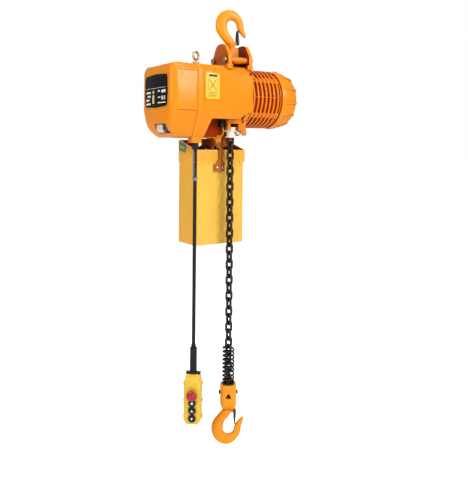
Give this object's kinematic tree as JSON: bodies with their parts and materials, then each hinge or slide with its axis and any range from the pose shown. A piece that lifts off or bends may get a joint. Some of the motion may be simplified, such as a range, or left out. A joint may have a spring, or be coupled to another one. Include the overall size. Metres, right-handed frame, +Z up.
{
  "type": "electric chain hoist",
  "caption": "Hook-suspended electric chain hoist with a finned motor, geared pocket wheel, chain bucket, load chain with swivel latch hook, and a hanging push-button pendant.",
  "frame": {"origin": "centre of the top hook's bowl, on the vertical load line", "axes": "+Z up along the load line, +X along the motor shaft towards the brake, -Y towards the load side and the operator"},
  "size_m": [0.5915, 0.2547, 1.6812],
  "materials": {
    "main_housing": "painted",
    "gearbox_cover": "plain",
    "bearing_plate": "plain",
    "control_cover": "painted",
    "cover_screws": "plain",
    "capacity_plate": "plain",
    "side_plate": "painted",
    "contactors": "plain",
    "transformer": "painted",
    "mains_socket": "plain",
    "plug_block": "plain",
    "lifting_eye": "plain",
    "motor_frame": "painted",
    "stator_core": "plain",
    "stator_windings": "plain",
    "flange_bolts": "plain",
    "bearings": "plain",
    "brake_cover": "painted",
    "brake_screws": "plain",
    "brake_magnet": "plain",
    "brake_springs": "plain",
    "suspension_yoke": "painted",
    "suspension_pins": "plain",
    "chain_guide": "painted",
    "bracket_screws": "plain",
    "limit_switch": "plain",
    "slack_chain": "plain",
    "load_chain": "plain",
    "chain_bucket": "painted",
    "bucket_bracket": "painted",
    "cable_gland": "plain",
    "rotor_core": "plain",
    "motor_shaft": "plain",
    "brake_disc": "plain",
    "brake_armature": "plain",
    "first_gear": "plain",
    "first_shaft": "plain",
    "second_gear": "plain",
    "second_shaft": "plain",
    "load_gear": "plain",
    "load_sheave": "plain",
    "limit_lever": "plain",
    "top_hook": "painted",
    "top_hook_nut": "plain",
    "top_latch": "painted",
    "hook_block": "painted",
    "block_bolt": "plain",
    "end_chain": "plain",
    "buffer_spring": "painted",
    "bottom_hook": "painted",
    "bottom_hook_nut": "plain",
    "bottom_latch": "painted",
    "pendant_cable": "plain",
    "strain_chain": "plain",
    "pendant_case": "plain",
    "estop_stem": "plain",
    "estop_cap": "plain",
    "start_button": "plain",
    "up_button": "plain",
    "down_button": "plain"
  },
  "bodies": {
    "hoist_body": {"main_housing": "main_housing", "gearbox_cover": "gearbox_cover", "bearing_plate": "bearing_plate", "control_cover": "control_cover", "cover_screws": "cover_screws", "capacity_plate": "capacity_plate", "side_plate": "side_plate", "contactors": "contactors", "transformer": "transformer", "mains_socket": "mains_socket", "plug_block": "plug_block", "lifting_eye": "lifting_eye", "motor_frame": "motor_frame", "stator_core": "stator_core", "stator_windings": "stator_windings", "flange_bolts": "flange_bolts", "bearings": "bearings", "brake_cover": "brake_cover", "brake_screws": "brake_screws", "brake_magnet": "brake_magnet", "brake_springs": "brake_springs", "suspension_yoke": "suspension_yoke", "suspension_pins": "suspension_pins", "chain_guide": "chain_guide", "bracket_screws": "bracket_screws", "limit_switch": "limit_switch", "slack_chain": "slack_chain", "load_chain": "load_chain", "chain_bucket": "chain_bucket", "bucket_bracket": "bucket_bracket", "cable_gland": "cable_gland"},
    "rotor": {"rotor_core": "rotor_core", "motor_shaft": "motor_shaft", "brake_disc": "brake_disc"},
    "armature": {"brake_armature": "brake_armature"},
    "first_shaft_set": {"first_gear": "first_gear", "first_shaft": "first_shaft"},
    "second_shaft_set": {"second_gear": "second_gear", "second_shaft": "second_shaft"},
    "sheave_set": {"load_gear": "load_gear", "load_sheave": "load_sheave"},
    "limit_arm": {"limit_lever": "limit_lever"},
    "upper_hook": {"top_hook": "top_hook", "top_hook_nut": "top_hook_nut"},
    "upper_latch": {"top_latch": "top_latch"},
    "lower_block": {"hook_block": "hook_block", "block_bolt": "block_bolt", "end_chain": "end_chain", "buffer_spring": "buffer_spring"},
    "lower_hook": {"bottom_hook": "bottom_hook", "bottom_hook_nut": "bottom_hook_nut"},
    "lower_latch": {"bottom_latch": "bottom_latch"},
    "pendant": {"pendant_cable": "pendant_cable", "strain_chain": "strain_chain", "pendant_case": "pendant_case"},
    "estop": {"estop_stem": "estop_stem"},
    "estop_head": {"estop_cap": "estop_cap"},
    "start": {"start_button": "start_button"},
    "up": {"up_button": "up_button"},
    "down": {"down_button": "down_button"}
  },
  "joints": [
    {"name": "rotor_spin", "type": "hinge", "parent": "hoist_body", "child": "rotor", "pos_m": [0.116, 0.04886, -0.271], "axis": [1, 0, 0], "range_deg": [0, 49765.5]},
    {"name": "brake_release", "type": "slide", "parent": "hoist_body", "child": "armature", "axis": [-1, 0, 0], "range_m": [0, 0.0005]},
    {"name": "first_shaft_spin", "type": "hinge", "parent": "hoist_body", "child": "first_shaft_set", "pos_m": [-0.16, 0.00909, -0.3013], "axis": [1, 0, 0], "range_deg": [-12446.4, 0]},
    {"name": "second_shaft_spin", "type": "hinge", "parent": "hoist_body", "child": "second_shaft_set", "pos_m": [-0.14, 0.04886, -0.3535], "axis": [1, 0, 0], "range_deg": [0, 3115.3]},
    {"name": "sheave_spin", "type": "hinge", "parent": "hoist_body", "child": "sheave_set", "pos_m": [0, 0.04886, -0.271], "axis": [1, 0, 0], "range_deg": [-764.9, 0]},
    {"name": "hook_lift", "type": "slide", "parent": "hoist_body", "child": "lower_block", "axis": [0, 0, 1], "range_m": [0, 0.6402], "deforming": ["load_chain", "slack_chain"]},
    {"name": "limit_lever_tilt", "type": "hinge", "parent": "hoist_body", "child": "limit_arm", "pos_m": [0.046, 0, -0.409], "axis": [0, 1, 0], "range_deg": [0, 3]},
    {"name": "top_hook_swivel", "type": "hinge", "parent": "hoist_body", "child": "upper_hook", "pos_m": [0, 0, 0], "axis": [0, 0, 1], "continuous": true},
    {"name": "top_latch_hinge", "type": "hinge", "parent": "upper_hook", "child": "upper_latch", "pos_m": [0.02445, -0.0052, -0.063], "axis": [0.2079, 0.9781, 0], "range_deg": [-24, 0], "stiffness_Nm_per_rad": 0.6},
    {"name": "bottom_hook_swivel", "type": "hinge", "parent": "lower_block", "child": "lower_hook", "pos_m": [0, 0, -1.549], "axis": [0, 0, 1], "continuous": true},
    {"name": "bottom_latch_hinge", "type": "hinge", "parent": "lower_hook", "child": "lower_latch", "pos_m": [0.02165, -0.0125, -1.486], "axis": [0.5, 0.866, 0], "range_deg": [0, 24], "stiffness_Nm_per_rad": 0.6},
    {"name": "pendant_swing", "type": "hinge", "parent": "hoist_body", "child": "pendant", "pos_m": [-0.162, -0.01, -0.479], "axis": [1, 0, 0], "range_deg": [-30, 3]},
    {"name": "estop_press", "type": "slide", "parent": "pendant", "child": "estop", "axis": [0.6157, 0.788, 0], "range_m": [0, 0.005]},
    {"name": "estop_twist", "type": "hinge", "parent": "estop", "child": "estop_head", "pos_m": [-0.18909, -0.04467, -1.375], "axis": [-0.6157, -0.788, 0], "range_deg": [-45, 0]},
    {"name": "start_press", "type": "slide", "parent": "pendant", "child": "start", "axis": [0.6157, 0.788, 0], "range_m": [0, 0.004]},
    {"name": "up_press", "type": "slide", "parent": "pendant", "child": "up", "axis": [0.6157, 0.788, 0], "range_m": [0, 0.004]},
    {"name": "down_press", "type": "slide", "parent": "pendant", "child": "down", "axis": [0.6157, 0.788, 0], "range_m": [0, 0.004]}
  ],
  "couplings": [
    {"joint": "first_shaft_spin", "follows": "rotor_spin", "ratio": -0.25},
    {"joint": "second_shaft_spin", "follows": "rotor_spin", "ratio": 0.0625},
    {"joint": "sheave_spin", "follows": "rotor_spin", "ratio": -0.01533},
    {"joint": "hook_lift", "follows": "rotor_spin", "m_per_rad": 0.00073684}
  ]
}
